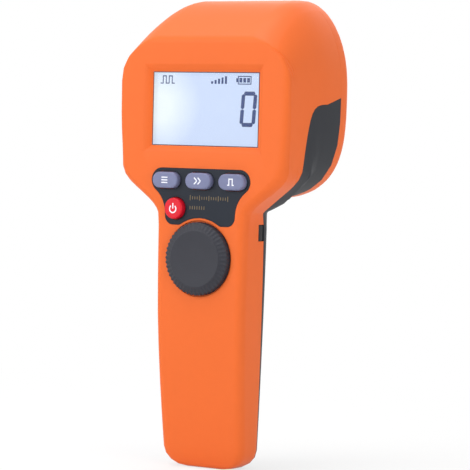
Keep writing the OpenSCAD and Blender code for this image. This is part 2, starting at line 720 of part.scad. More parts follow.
module reflector() {
    color([0.86, 0.87, 0.88]) difference() {
        union() {
            rod(lens_r - fit, lens_front - flange_t, lens_front, 0, lamp_z);
            for (p = cup_places())
                taper(throat_r + cup_wall, cup_r + cup_wall - 0.2, cup_front, lens_front - 0.5, p[0], p[1]);
        }
        for (p = cup_places()) {
            taper(throat_r, cup_r, cup_front, lens_front + 0.01, p[0], p[1]);
            rod(throat_r, cup_front - 1, cup_front + 0.5, p[0], p[1]);
        }
    }
}

module led_board() {
    color([0.9, 0.9, 0.88]) rod(lens_r - 1, led_front, cup_front, 0, lamp_z);
}

module led_emitters() {
    color([0.95, 0.9, 0.55]) for (p = cup_places()) translate([p[0], cup_front, p[1]]) rotate([-90, 0, 0])
        rotate_extrude() polygon(concat([[0, 0], [led_r, 0], [led_r, 0.8]],
            [for (k = [0:6]) let (a = 15 * k) [led_r * 0.8 * cos(a), 0.8 + led_r * 0.8 * sin(a)]]));
}

ear_step = 0.3;
module heat_sink() {
    disc_r = lens_r - 1;
    fin_r = lens_r - 3;
    fin_pitch = 2 * (lens_r - 5) / fin_n;
    ear_w = 2 * boss_r - 0.2;
    ear_l = 12;
    color(steel) difference() {
        union() {
            rod(disc_r, sink_front, led_front, 0, lamp_z);
            for (a = [45:90:315]) translate([0, 0, lamp_z]) rotate([0, -a, 0])
                block(ear_l, sink_front + ear_step, led_front - ear_step, ear_w,
                    lamp_screw_ring + (ear_w - ear_l) / 2, 0);
            for (k = [0:fin_n - 1]) let (x = (k - (fin_n - 1) / 2) * fin_pitch)
                block(fin_t, sink_front - fin_d, sink_front + 0.5,
                    2 * sqrt(fin_r * fin_r - x * x), x, lamp_z);
        }
        for (p = lamp_screws_at()) rod(screw_r + hole_gap, sink_front - 1, led_front + 1, p[0], p[1]);
    }
}

module lamp_screws() {
    color(steel) for (p = lamp_screws_at()) screw(p[0], sink_front + ear_step, p[1], sink_t + long_bite, 1);
}

module bezel_screws() {
    color(steel) for (p = bezel_screws_at())
        screw(p[0], rear_y - head_h - 0.4, p[1], bezel_d - head_h + short_bite, -1);
}

module lcd_window() {
    color([0.8, 0.88, 0.95, 0.5]) block(view_w + 2 * window_lap, view_y, window_back,
        view_h + 2 * window_lap, 0, display_z);
}

module lcd_glass() {
    color([0.78, 0.86, 0.95]) block(glass_w, glass_front, glass_front + glass_t, glass_h, 0, display_z);
}

module lcd_backlight() {
    color([0.95, 0.97, 1]) block(glass_w, glass_front + glass_t, board_front, glass_h, 0, display_z);
}

module lcd_frame() {
    color(steel) difference() {
        block(glass_w + 2 * (lcd_frame_t + fit), glass_front, board_front,
            glass_h + 2 * (lcd_frame_t + fit), 0, display_z);
        block(glass_w + 2 * fit, glass_front - 1, board_front + 1, glass_h + 2 * fit, 0, display_z);
    }
}

neck_in = 4;
shoulder_in = 12;
board_corner = 8;
board_margin = 2.05;
board_reach = view_h / 2 + window_lap + board_margin;
module board_outline() {
    w = board_w / 2;
    t = tail_w / 2;
    right = [[t, tail_bottom], [t, neck_h - 1], [t - neck_in, neck_h + neck_in - 1],
        [t - neck_in, neck_h + 2 * neck_in], [w - shoulder_in, key_z + 2], [w, display_z - board_reach],
        [w, display_z + board_reach - board_corner + 1], [w - board_corner, display_z + board_reach]];
    polygon(concat(right, [for (k = [len(right) - 1:-1:0]) [-right[k][0], right[k][1]]]));
}

module main_board() {
    color(board_green) difference() {
        slab(board_front, board_back) board_outline();
        for (p = board_screws_at()) rod(screw_r + hole_gap, board_front - 1, board_back + 1, p[0], p[1]);
    }
}

chip_w = 12;
chip_t = 1.4;
chip_drop = 4;
module control_chip() {
    color([0.08, 0.08, 0.08])
        block(chip_w, board_back, board_back + chip_t, chip_w, 0, display_z - chip_drop);
}

module board_screws() {
    color(steel) for (p = board_screws_at()) screw(p[0], board_back, p[1], board_t + short_bite, -1);
}

// Outline of the dark plate: a wide band round the key row and a narrower part down to two lobes by the dial
module overlay_outline(grow) {
    $fn = 36;
    offset(delta = grow) offset(r = overlay_lip) offset(delta = -overlay_lip) difference() {
        offset(r = -overlay_waist) offset(delta = overlay_waist) union() {
            hull() for (s = [-1, 1]) translate([s * (key_pitch + key_w / 2 - key_h / 2), key_z])
                circle(r = key_h / 2 + overlay_border);
            hull() {
                for (s = [-1, 1]) translate([s * (overlay_low_w / 2 - lobe_r), power_z - lobe_drop])
                    circle(r = lobe_r);
                translate([0, key_z]) square([overlay_low_w + 1, 1], center = true);
            }
        }
        translate([0, dial_z]) circle(r = recess_r + overlay_gap);
    }
}
module key_outlines(grow) {
    for (x = key_xs) polygon(oval(key_w + 2 * grow, key_h + 2 * grow, x, key_z));
    translate([-power_x, power_z]) circle(d = power_d + 2 * grow);
}

module keypad_overlay() {
    color([0.27, 0.26, 0.29]) slab(overlay_front, overlay_back) difference() {
        overlay_outline(0);
        key_outlines(run_gap + 0.1);
    }
}

// A key: a cap with a rounded edge and the collar that keeps it behind the face
module oval_key(x) {
    round_n = 3;
    edge = 0.9;
    rows = concat([for (k = [0:round_n]) let (a = 90 * k / round_n)
            [panel_y - key_proud + edge * (1 - sin(a)), edge * (1 - cos(a))]]);
    ring = function (y, draw) [for (p = oval(key_w - 2 * draw, key_h - 2 * draw, x, key_z)) [p[0], y, p[1]]];
    color(key_grey) union() {
        stack(concat([for (k = [round_n:-1:0]) ring(rows[k][0], rows[k][1])], [ring(collar_front + 0.2, 0)]));
        slab(collar_front, collar_back)
            polygon(oval(key_w + 2 * key_collar, key_h + 2 * key_collar, x, key_z));
    }
}
module mode_key() { oval_key(-key_pitch); }
module range_key() { oval_key(0); }
module pulse_key() { oval_key(key_pitch); }

module power_key() {
    r = power_d / 2;
    edge = 0.9;
    color([0.8, 0.1, 0.12]) translate([-power_x, 0, power_z]) rotate([-90, 0, 0]) rotate_extrude()
        polygon(concat([[0, panel_y - key_proud]],
            [for (k = [0:6]) let (a = 15 * k)
                [r - edge + edge * sin(a), panel_y - key_proud + edge * (1 - cos(a))]],
            [[r, collar_front], [r + key_collar, collar_front],
                [r + key_collar, collar_back], [0, collar_back]]));
}

module plunger(p) {
    color([0.15, 0.15, 0.15]) rod(plunger_r, collar_back, plunger_end, p[0], p[1]);
}
module mode_plunger() { plunger(key_places()[0]); }
module range_plunger() { plunger(key_places()[1]); }
module pulse_plunger() { plunger(key_places()[2]); }
module power_plunger() { plunger(key_places()[3]); }

module key_switches() {
    color(steel) difference() {
        for (p = key_places()) block(switch_w, switch_front, board_front, switch_w, p[0], p[1]);
        for (p = key_places())
            rod(plunger_r + run_gap, switch_front - 1, plunger_end + key_travel + run_gap, p[0], p[1]);
    }
}

module dial() {
    r = dial_d / 2;
    top_r = dial_top_d / 2;
    n = 4 * flute_n;
    rows = [[dial_front + dish_d, 4, 0], [dial_front + dish_d * 0.6, top_r * 0.7, 0],
        [dial_front, top_r - 0.5, 0], [dial_front + 0.2, top_r, 0],
        [dial_front + 0.5, top_r + 0.7, flute_d * 0.8], [dial_front + rim_drop, r, flute_d],
        [panel_y - 0.3, r, flute_d * 0.6], [dial_back, r, 0]];
    ring = function (row) [for (k = [0:n - 1]) let (a = -360 * k / n,
            d = row[1] - row[2] * (1 - cos(360 * k / 4)) / 2)
        [d * cos(a), row[0], dial_z + d * sin(a)]];
    color([0.24, 0.24, 0.26]) difference() {
        stack([for (row = rows) ring(row)]);
        rod(shaft_r, dial_front + 1.4, dial_back + 1, 0, dial_z);
    }
}

module encoder_shaft() {
    color(steel) rod(shaft_r, dial_front + 1.4, board_front - 1.6, 0, dial_z);
}

module encoder_body() {
    color([0.16, 0.16, 0.18]) difference() {
        union() {
            block(encoder_w, well_back + 0.9, board_front, encoder_w, 0, dial_z);
            rod(shaft_r + 1.2, well_back + 0.2, well_back + 1.5, 0, dial_z);
        }
        rod(shaft_r + shaft_gap, well_back - 1, board_front - 1.5, 0, dial_z);
    }
}

driver_z = display_z + 2;
driver_spacer = [driver_w / 2 - 4, driver_h / 2 - 4];
charge_z = port_z - 8;
charge_spacer = [charge_w / 2 - 9, charge_h / 2 - 3];

module driver_board() {
    color(board_green) block(driver_w, stack_y, stack_y + board_t, driver_h, 0, driver_z);
}

coil_r = 6;
coil_x = 10;
can_r = 4;
can_x = 11;
can_step = 5;
can_drop = 9;
gate_w = 9;
gate_t = 1.5;
gate_at = 8;
part_clear = 2.4;
module driver_parts() {
    tall = stack_gap - part_clear;
    color([0.2, 0.2, 0.24]) {
        rod(coil_r, stack_y - tall + gate_t, stack_y, -coil_x, driver_z - coil_r);
        for (s = [-1, 1]) rod(can_r, stack_y - tall, stack_y, can_x + s * can_step, driver_z - can_drop);
        block(gate_w, stack_y - gate_t, stack_y, gate_w, gate_at, driver_z + gate_at);
    }
}

module board_spacers() {
    color(steel) for (s = [-1, 1]) for (t = [-1, 1]) {
        rod(spacer_r, board_back, stack_y, s * driver_spacer[0], driver_z + t * driver_spacer[1]);
        rod(spacer_r, board_back, stack_y, s * charge_spacer[0], charge_z + t * charge_spacer[1]);
    }
}

module charge_board() {
    color(board_green) block(charge_w, stack_y, stack_y + board_t, charge_h, 0, charge_z);
}

usb_x = charge_w / 2 + 0.7;
module usb_socket() {
    y0 = stack_y - usb_t;
    color(steel) difference() {
        translate([usb_x - usb_d, y0, port_z - usb_w / 2]) cube([usb_d, usb_t, usb_w]);
        translate([usb_x - usb_d + 0.6, y0 + 0.4, port_z - usb_w / 2 + 0.4])
            cube([usb_d, usb_t - 0.8, usb_w - 0.8]);
    }
}

module port_cover() {
    y1 = part_line_y(port_z - cover_h / 2) - run_gap / 2;
    y0 = part_line_y(port_z) - cover_w + run_gap / 2;
    h = cover_h - run_gap;
    x0 = handle_w / 2 - wall - 0.8;
    x1 = handle_w / 2 - 0.3 + cover_proud;
    color(dark) translate([0, 0, port_z - h / 2]) linear_extrude(h)
        polygon([[x0, y0], [x1, y0], [x1, y1 - 1.6], [x1 - 0.8, y1], [x0, y1]]);
}

// The pack stands in a tray that rests on feet against the rear shell
tray_back = back_y(pack_z) - wall - 1.2;
pack_back = tray_back - tray_t - fit;
module battery_pack() {
    round = 2;
    color([0.55, 0.57, 0.6]) translate([0, pack_back - pack_t / 2, pack_z]) linear_extrude(pack_l)
        polygon([for (q = [[1, 1], [-1, 1], [-1, -1], [1, -1]]) for (k = [0:4])
            let (a = 22.5 * k + (q[0] > 0 ? (q[1] > 0 ? 0 : 270) : (q[1] > 0 ? 90 : 180)))
            [q[0] * (pack_w / 2 - round) + round * cos(a), q[1] * (pack_t / 2 - round) + round * sin(a)]]);
}

module battery_tray() {
    w = pack_w + 2 * (fit + tray_t);
    h = pack_l + 2 * (fit + tray_t);
    z = pack_z + pack_l / 2;
    color(dark) {
        difference() {
            block(w, tray_back - tray_t - tray_edge, tray_back, h, 0, z);
            block(w - 2 * tray_t, tray_back - tray_t - tray_edge - 1, tray_back - tray_t,
                h - 2 * tray_t, 0, z);
        }
        for (x = [-1, 1]) for (dz = [-1, 1]) let (foot_z = z + dz * (pack_l / 2 - 8))
            rod(2.5, tray_back - 0.3, back_y(foot_z) - wall - fit, x * 9, foot_z);
    }
}

tab_x = 8;
tab_w = 4;
tab_h = 5;
tab_t = 0.6;
module battery_tabs() {
    y = pack_back - pack_t / 2;
    color(steel) for (s = [-1, 1]) block(tab_w, y - tab_t / 2, y + tab_t / 2, tab_h,
        s * tab_x, pack_z + pack_l + tray_t + fit + tab_h / 2);
}

module housing_screws() {
    color(steel) for (p = housing_screws_at())
        screw(p[0], housing_head_y(p[1]), p[1], housing_head_y(p[1]) - part_line_y(p[1]) + long_bite, -1);
}

module tripod_insert() {
    color([0.8, 0.65, 0.3]) difference() {
        cylinder(r = bush_r, h = bush_l);
        translate([0, 0, -1]) cylinder(r = thread_r, h = bush_l);
    }
}

front_shell();
rear_shell();
lamp_bezel();
lens();
lens_gasket();
reflector();
led_board();
led_emitters();
heat_sink();
lamp_screws();
bezel_screws();
lcd_window();
lcd_glass();
lcd_backlight();
lcd_frame();
main_board();
control_chip();
board_screws();
keypad_overlay();
mode_key();
range_key();
pulse_key();
power_key();
mode_plunger();
range_plunger();
pulse_plunger();
power_plunger();
key_switches();
dial();
encoder_shaft();
encoder_body();
driver_board();
driver_parts();
board_spacers();
charge_board();
usb_socket();
port_cover();
battery_pack();
battery_tray();
battery_tabs();
housing_screws();
tripod_insert();
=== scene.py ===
"""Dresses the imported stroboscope: housing, lamp, display, keypad, dial, fasteners and stage."""
import json
import math

import bmesh
import bpy
from bpy.props import FloatProperty, FloatVectorProperty, PointerProperty
from mathutils import Matrix, Vector

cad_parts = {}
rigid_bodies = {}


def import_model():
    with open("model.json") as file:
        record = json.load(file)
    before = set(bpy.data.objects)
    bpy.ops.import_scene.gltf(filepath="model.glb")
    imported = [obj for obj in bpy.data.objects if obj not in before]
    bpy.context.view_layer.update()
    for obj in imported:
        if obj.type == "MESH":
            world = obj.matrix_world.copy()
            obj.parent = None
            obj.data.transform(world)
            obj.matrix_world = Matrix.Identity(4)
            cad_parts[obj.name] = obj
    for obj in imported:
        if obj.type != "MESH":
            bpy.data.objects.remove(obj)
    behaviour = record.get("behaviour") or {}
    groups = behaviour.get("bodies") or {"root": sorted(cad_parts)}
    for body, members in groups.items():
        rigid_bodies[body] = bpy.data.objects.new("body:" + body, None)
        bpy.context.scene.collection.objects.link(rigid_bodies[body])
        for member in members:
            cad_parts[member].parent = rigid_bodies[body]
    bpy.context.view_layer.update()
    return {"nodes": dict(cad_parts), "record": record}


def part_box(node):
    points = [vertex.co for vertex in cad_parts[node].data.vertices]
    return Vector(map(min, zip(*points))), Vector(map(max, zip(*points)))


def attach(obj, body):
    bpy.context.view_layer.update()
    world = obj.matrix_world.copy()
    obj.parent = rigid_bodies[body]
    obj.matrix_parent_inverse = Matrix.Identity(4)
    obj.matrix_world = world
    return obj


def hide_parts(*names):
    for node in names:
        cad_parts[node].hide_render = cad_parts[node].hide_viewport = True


bl_info = {
    "name": "Stroboscope dressing",
    "version": (1, 0, 0),
    "blender": (4, 5, 0),
    "location": "View3D > Sidebar > Stroboscope",
    "description": "Finishes, marks and stage for a hand-held stroboscope",
    "category": "Object",
}

for leftover in list(bpy.data.objects):
    bpy.data.objects.remove(leftover)
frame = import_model()
MM = 0.001
CASE = "case"
# Share of a print's thickness that stands above its surface.
PROUD = 0.4
KEY_FINISHES = {"mode": "key_grey", "range": "key_grey", "pulse": "key_grey", "power": "key_red"}
finishes = {}


def colour_property(name, description, red, green, blue):
    """A colour that a user can change, given as it looks on screen."""
    linear = [((v / 255 + 0.055) / 1.055) ** 2.4 for v in (red, green, blue)]
    return FloatVectorProperty(name=name, description=description, subtype="COLOR", size=3, min=0, max=1,
                               default=linear)


def length_property(name, description, millimetres):
    """A length that a user can change."""
    return FloatProperty(name=name, description=description, default=millimetres * MM, unit="LENGTH")


class StroboscopeColours(bpy.types.PropertyGroup):
    """Colours of the stroboscope's finishes"""

    shell: colour_property("Front shell", "Orange of the front shell and the lamp bezel", 231, 107, 46)
    back: colour_property("Rear shell", "Dark grey of the rear shell", 44, 46, 51)
    overlay: colour_property("Overlay", "Film round the keys", 38, 43, 52)
    key: colour_property("Keys", "Oval keys", 118, 123, 156)
    power: colour_property("Power key", "Round power key", 214, 16, 40)
    dial: colour_property("Dial", "Setting dial", 48, 49, 57)
    glow: colour_property("Display", "Lit display", 202, 219, 250)
    ink: colour_property("Segments", "Dark segments of the display", 58, 74, 122)
    key_print: colour_property("Key marks", "Print on the keys", 236, 238, 246)
    scale_print: colour_property("Scale ticks", "Print on the overlay", 140, 122, 92)


class StroboscopeSizes(bpy.types.PropertyGroup):
    """Sizes of the stroboscope's edges and marks"""

    edge: length_property("Shell edge", "Rounding of the shells' edges", 0.35)
    digit: length_property("Digit height", "Height of the large digit", 16.4)
    stroke: length_property("Stroke", "Width of the large digit's segments", 1.9)
    icon: length_property("Key mark", "Height of the marks on the oval keys", 3.4)
    power_icon: length_property("Power mark", "Height of the mark on the power key", 4.148)
    lap: length_property("Window lap", "Hidden edge of the display window", 2.6)
    # Width of the painted shadow of the gap between the frame and the display window.
    border: length_property("Window border", "Dark line round the display", 0.35)
    print_t: length_property("Print", "Thickness of printed marks", 0.05)


class Flow:
    """A node's output that takes part in plain arithmetic"""

    def __init__(self, nodes, socket):
        self.nodes = nodes
        self.socket = socket

    def maths(self, operation, first, second):
        return self.nodes.node("ShaderNodeMath", {"operation": operation}, {0: first, 1: second})

    def __add__(self, other):
        return self.maths("ADD", self, other)

    __radd__ = __add__

    def __sub__(self, other):
        return self.maths("SUBTRACT", self, other)

    def __rsub__(self, other):
        return self.maths("SUBTRACT", other, self)

    def __mul__(self, other):
        return self.maths("MULTIPLY", self, other)

    __rmul__ = __mul__

    def either(self, other):
        return self.maths("MAXIMUM", self, other)


class Nodes:
    """A node tree, with one way to add a node to it"""

    def __init__(self, tree):
        self.tree = tree

    def node(self, kind, settings, sockets, output=0):
        made = self.tree.nodes.new(kind)
        for key, value in settings.items():
            if key == "stops":
                self.fill_ramp(made.color_ramp, value)
            else:
                setattr(made, key, value)
        for key, value in sockets.items():
            self.plug(made.inputs[key], value)
        return Flow(self, made.outputs[output])

    def fill_ramp(self, ramp, stops):
        while len(ramp.elements) < len(stops):
            ramp.elements.new(0.5)
        for element, (position, value) in zip(ramp.elements, stops):
            element.position = position
            element.color = (value, value, value, 1)

    def plug(self, socket, value):
        if isinstance(value, Flow):
            self.tree.links.new(value.socket, socket)
        elif socket.type == "RGBA":
            socket.default_value = (*value[:3], 1)
        else:
            socket.default_value = value

    def white_rays(self):
        """1 for the rays that see the white background, and 0 for those that light the object."""
        camera = self.node("ShaderNodeLightPath", {}, {}, "Is Camera Ray")
        glossy = self.node("ShaderNodeLightPath", {}, {}, "Is Glossy Ray")
        through = self.node("ShaderNodeLightPath", {}, {}, "Is Transmission Ray")
        return camera.either(glossy).either(through)


class Paint(Nodes):
    """A finish: a Principled shader and the nodes that feed it"""

    def __init__(self, name, **constants):
        self.material = bpy.data.materials.new(name)
        self.material.use_nodes = True
        super().__init__(self.material.node_tree)
        self.shader = self.tree.nodes["Principled BSDF"]
        self.feed(**constants)
        self.place = self.node("ShaderNodeTexCoord", {}, {}, "Object")

    def feed(self, **values):
        for key, value in values.items():
            self.plug(self.shader.inputs[key.replace("_", " ").title().replace("Ior", "IOR")], value)

    def noise(self, scale, detail=2, rough=0.5, stretch=None):
        where = self.place
        if stretch:
            where = self.node("ShaderNodeMapping", {}, {"Vector": self.place, "Scale": stretch})
        return self.node("ShaderNodeTexNoise", {},
                         {"Vector": where, "Scale": scale, "Detail": detail, "Roughness": rough})

    def ramp(self, factor, *stops):
        return self.node("ShaderNodeValToRGB", {"stops": stops}, {"Fac": factor})

    def tint(self, factor, first, second):
        return self.node("ShaderNodeMix", {"data_type": "RGBA"}, {0: factor, 6: first, 7: second}, 2)

    def relief(self, height, depth, strength):
        bump = self.node("ShaderNodeBump", {}, {"Strength": strength, "Distance": depth, "Height": height})
        self.feed(normal=bump)


def shade(colour, factor):
    """A colour made darker or lighter."""
    return [min(c * factor, 1) for c in colour]


def moulded(name, colour, gloss, roughness, grain, depth):
    """Plastic from a spark-eroded mould: fine grain, faint flow marks, a little uneven gloss."""
    paint = Paint(name, specular_ior_level=gloss)
    fine = paint.noise(grain, detail=3, rough=0.6)
    flow = paint.noise(22, detail=3, stretch=(1, 1, 0.35))
    dust = paint.noise(240)
    mottle = flow * 0.7 + dust * 0.3
    paint.feed(base_color=paint.tint(mottle, shade(colour, 0.955), shade(colour, 1.045)))
    paint.feed(roughness=roughness - 0.06 + fine * 0.08 + flow * 0.04)
    paint.relief(fine, depth, 0.55)
    return paint.material


def rubbery(name, colour, roughness):
    """Silicone or soft rubber with a powdery bloom."""
    paint = Paint(name, specular_ior_level=0.28)
    bloom = paint.noise(700, detail=3, rough=0.6)
    worn = paint.ramp(paint.noise(160), (0.35, 0), (0.75, 1))
    paint.feed(base_color=paint.tint(worn, shade(colour, 0.95), shade(colour, 1.06)))
    paint.feed(roughness=roughness + bloom * 0.1 - worn * 0.06)
    paint.relief(bloom, 0.03 * MM, 0.4)
    return paint.material


def metal(name, colour, roughness, stretch):
    """Metal with fine lines along one way."""
    paint = Paint(name, metallic=1)
    lines = paint.noise(900, rough=0.6, stretch=stretch)
    stain = paint.noise(60, detail=3)
    paint.feed(base_color=paint.tint(stain, shade(colour, 0.86), colour))
    paint.feed(roughness=roughness + lines * 0.16 - 0.05)
    paint.relief(lines, 0.02 * MM, 0.4)
    return paint.material


def clear(name, colour, alpha, roughness):
    """Clear moulding with a faint haze."""
    paint = Paint(name, base_color=colour, alpha=alpha, specular_ior_level=0.6)
    haze = paint.noise(35)
    paint.feed(roughness=roughness + haze * 0.03)
    return paint.material


def circuit_board(name, colour, trace):
    """Solder mask over copper tracks."""
    paint = Paint(name, specular_ior_level=0.5)
    cells = paint.node("ShaderNodeTexVoronoi", {"distance": "MANHATTAN"},
                       {"Vector": paint.place, "Scale": 420})
    tracks = paint.ramp(cells, (0.5, 0), (0.56, 1))
    paint.feed(base_color=paint.tint(tracks, colour, trace))
    paint.feed(roughness=0.34 + tracks * 0.12)
    paint.relief(tracks, 0.03 * MM, 0.5)
    return paint.material


def lit_display(name, colour):
    """Backlit display cell, brightest near its lamp at the left edge."""
    low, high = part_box("lcd_glass")
    lamp = (low + high) / 2 + Vector((-27, 0, 1)) * MM
    reach = 24 * MM
    brightest = (0.88, 0.97, 1)
    paint = Paint(name, roughness=0.3, specular_ior_level=0.3, emission_strength=0.86)
    round_lamp = paint.node("ShaderNodeMapping", {"vector_type": "POINT"},
                            {"Vector": paint.place, "Location": [-v / reach for v in lamp],
                             "Scale": (1 / reach, 1 / reach, 1 / reach)})
    ball = paint.node("ShaderNodeTexGradient", {"gradient_type": "SPHERICAL"}, {"Vector": round_lamp}, "Fac")
    cloud = paint.noise(90)
    bright = paint.ramp(ball + cloud * 0.12, (0.1, 0), (0.8, 1))
    paint.feed(base_color=paint.tint(bright, shade(colour, 0.1), shade(colour, 0.12)))
    paint.feed(emission_color=paint.tint(bright, colour, brightest))
    return paint.material


def inked(name, colour, roughness):
    """Print or liquid-crystal segments."""
    paint = Paint(name, specular_ior_level=0.1)
    film = paint.noise(1500)
    paint.feed(base_color=paint.tint(film, shade(colour, 0.93), shade(colour, 1.05)))
    paint.feed(roughness=roughness + film * 0.1)
    return paint.material


def turned_dial(name, colour):
    """Satin plastic with a fine turned sheen round the dial's axis."""
    low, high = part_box("dial")
    middle = (low + high) / 2
    paint = Paint(name, specular_ior_level=0.3)
    round_axis = paint.node("ShaderNodeMapping", {},
                            {"Vector": paint.place, "Location": [-v for v in middle]})
    rings = paint.node("ShaderNodeTexWave", {"wave_type": "RINGS", "rings_direction": "Y"},
                       {"Vector": round_axis, "Scale": 320, "Distortion": 1.5, "Detail": 2}, "Fac")
    dust = paint.noise(260, detail=3, rough=0.55)
    paint.feed(base_color=paint.tint(dust, shade(colour, 0.9), shade(colour, 1.08)))
    paint.feed(roughness=0.46 + dust * 0.1 + rings * 0.05)
    paint.relief(rings * 0.4 + dust * 0.6, 0.04 * MM, 0.35)
    return paint.material


def make_finishes(colours):
    """Makes one material for each of the record's slots, and those of the marks."""
    steel = (0.55, 0.56, 0.58)
    finishes["housing_orange"] = moulded("orange_spark_plastic", colours.shell, gloss=0.18, roughness=0.46,
                                         grain=1500, depth=0.05 * MM)
    finishes["housing_dark"] = moulded("dark_soft_plastic", colours.back, gloss=0.2, roughness=0.55,
                                       grain=1300, depth=0.06 * MM)
    finishes["lens_clear"] = clear("lamp_lens_clear", (0.92, 0.96, 0.98), alpha=0.22, roughness=0.04)
    finishes["seal_rubber"] = rubbery("seal_rubber", (0.02, 0.02, 0.022), roughness=0.62)
    finishes["mirror_film"] = metal("reflector_mirror", (0.86, 0.87, 0.88), roughness=0.14,
                                    stretch=(1, 0.2, 1))
    finishes["white_board"] = circuit_board("white_lamp_board", (0.8, 0.8, 0.78), trace=(0.7, 0.7, 0.69))
    finishes["emitter"] = rubbery("emitter_phosphor", (0.85, 0.66, 0.16), roughness=0.25)
    finishes["sink_metal"] = metal("heat_sink_metal", steel, roughness=0.4, stretch=(1, 0.1, 0.1))
    finishes["screw_steel"] = metal("screw_steel", steel, roughness=0.32, stretch=(1, 1, 1))
    finishes["window_clear"] = clear("display_window_clear", (0.9, 0.95, 1.0), alpha=0.02, roughness=0.05)
    finishes["display_cell"] = lit_display("display_cell_lit", colours.glow)
    finishes["light_plate"] = rubbery("light_plate_white", (0.85, 0.88, 0.9), roughness=0.4)
    finishes["sheet_steel"] = metal("sheet_steel", (0.6, 0.61, 0.63), roughness=0.36, stretch=(1, 0.2, 0.2))
    finishes["board_green"] = circuit_board("green_board", (0.01, 0.09, 0.04), trace=(0.02, 0.16, 0.07))
    finishes["chip_black"] = rubbery("chip_black", (0.012, 0.012, 0.013), roughness=0.5)
    finishes["overlay_dark"] = moulded("overlay_film", colours.overlay, gloss=0.15, roughness=0.42,
                                       grain=2600, depth=0.03 * MM)
    finishes["key_grey"] = rubbery("key_silicone_grey", colours.key, roughness=0.42)
    finishes["key_red"] = rubbery("key_silicone_red", colours.power, roughness=0.38)
    finishes["dial_dark"] = turned_dial("dial_satin", colours.dial)
    finishes["pack_wrap"] = moulded("battery_wrap", (0.12, 0.16, 0.24), gloss=0.4, roughness=0.3,
                                    grain=300, depth=0.02 * MM)
    finishes["bush_brass"] = metal("turned_brass", (0.75, 0.52, 0.2), roughness=0.28, stretch=(1, 1, 0.1))
    finishes["print_white"] = inked("key_print", colours.key_print, roughness=0.5)
    finishes["print_scale"] = inked("scale_print", colours.scale_print, roughness=0.5)
    finishes["print_segment"] = inked("display_segment", colours.ink, roughness=0.4)


def cad_form(node):
    """A merged copy of a CAD node, with the triangles of flat faces joined."""
    weld = 0.002 * MM
    flat = math.radians(0.2)
    form = bmesh.new()
    form.from_mesh(frame["nodes"][node].data)
    bmesh.ops.remove_doubles(form, verts=form.verts, dist=weld)
    bmesh.ops.dissolve_limit(form, angle_limit=flat, verts=form.verts, edges=form.edges)
    return form


def sharp_edges(form, angle):
    """Edges between two faces that meet at more than an angle in degrees."""
    limit = math.radians(angle)
    return [e for e in form.edges if len(e.link_faces) == 2 and e.calc_face_angle() > limit]


def round_edges(form, width, angle, segments=2):
    """Rounds the edges that are sharper than an angle in degrees."""
    bmesh.ops.bevel(form, geom=sharp_edges(form, angle), offset=width, offset_type="OFFSET",
                    segments=segments, profile=0.5, affect="EDGES", clamp_overlap=True, material=-1)


def ease_strips(form, narrow, wide, top):
    """Rounds the shallow edges between the strips of a ring's skin, up to a height."""
    flat = math.radians(14)
    oblong = math.radians(60)
    least = math.radians(3)
    most = math.radians(36)
    percent = 40
    bmesh.ops.join_triangles(form, faces=form.faces, angle_face_threshold=flat, angle_shape_threshold=oblong)
    shallow = []
    for edge in form.edges:
        if len(edge.link_faces) != 2 or any(len(face.verts) != 4 for face in edge.link_faces):
            continue
        if max(vert.co.z for vert in edge.verts) > top:
            continue
        length = edge.calc_length()
        widths = [face.calc_area() / length for face in edge.link_faces]
        if least < edge.calc_face_angle() < most and min(*widths, length) > narrow and max(widths) < wide:
            shallow.append(edge)
    bmesh.ops.bevel(form, geom=shallow, offset=percent, offset_type="PERCENT", segments=3, profile=0.5,
                    affect="EDGES", clamp_overlap=False, material=-1)


def add_piece(form, name, finish, body, nodes=(), sharp=38, even=70):
    """Turns a bmesh into a finished piece that rides on a body.

    Edges past the angle sharp stay sharp, and even is how much large faces weigh in the shading.
    """
    for face in form.faces:
        face.smooth = True
    for edge in form.edges:
        edge.smooth = True
    for edge in sharp_edges(form, sharp):
        edge.smooth = False
    mesh = bpy.data.meshes.new(name)
    form.to_mesh(mesh)
    form.free()
    mesh.materials.append(finishes[finish])
    piece = bpy.data.objects.new(name, mesh)
    bpy.context.scene.collection.objects.link(piece)
    weigh = piece.modifiers.new("flat faces stay flat", "WEIGHTED_NORMAL")
    weigh.keep_sharp = True
    weigh.weight = even
    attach(piece, body)
    if nodes:
        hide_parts(*nodes)


def shift(form, verts, x, y, z):
    """Moves vertices."""
    bmesh.ops.translate(form, verts=verts, vec=(x, y, z))


def turn(form, verts, angle, axis):
    """Turns vertices by an angle in degrees, about an axis through the origin."""
    bmesh.ops.rotate(form, verts=verts, cent=(0, 0, 0), matrix=Matrix.Rotation(math.radians(angle), 4, axis))


def bar(form, x, z, length, width, angle=0):
    """Adds a flat bar with pointed ends, in the plane of the face, turned by an angle in degrees."""
    radius = width / math.sqrt(3)
    verts = bmesh.ops.create_circle(form, cap_ends=True, segments=6, radius=radius)["verts"]
    turn(form, verts, 30, "Z")
    for vert in verts:
        vert.co.x += math.copysign(max(length / 2 - radius, 0), vert.co.x)
    turn(form, verts, 90, "X")
    turn(form, verts, -angle, "Y")
    shift(form, verts, x, 0, z)
    return verts


def plate(form, x, z, width, height):
    """Adds a flat rectangle in the plane of the face."""
    verts = bmesh.ops.create_grid(form, x_segments=1, y_segments=1, size=0.5)["verts"]
    bmesh.ops.scale(form, verts=verts, vec=(width, height, 1))
    turn(form, verts, 90, "X")
    shift(form, verts, x, 0, z)


def thicken(form, thickness, y):
    """Gives flat marks their thickness, with their faces at y looking towards the viewer."""
    bmesh.ops.recalc_face_normals(form, faces=form.faces)
    for face in form.faces:
        if face.normal.y > 0:
            face.normal_flip()
    made = bmesh.ops.extrude_face_region(form, geom=form.faces[:], use_keep_orig=True)
    back = [v for v in made["geom"] if isinstance(v, bmesh.types.BMVert)]
    shift(form, back, 0, thickness, 0)
    shift(form, form.verts, 0, y, 0)
    bmesh.ops.recalc_face_normals(form, faces=form.faces)


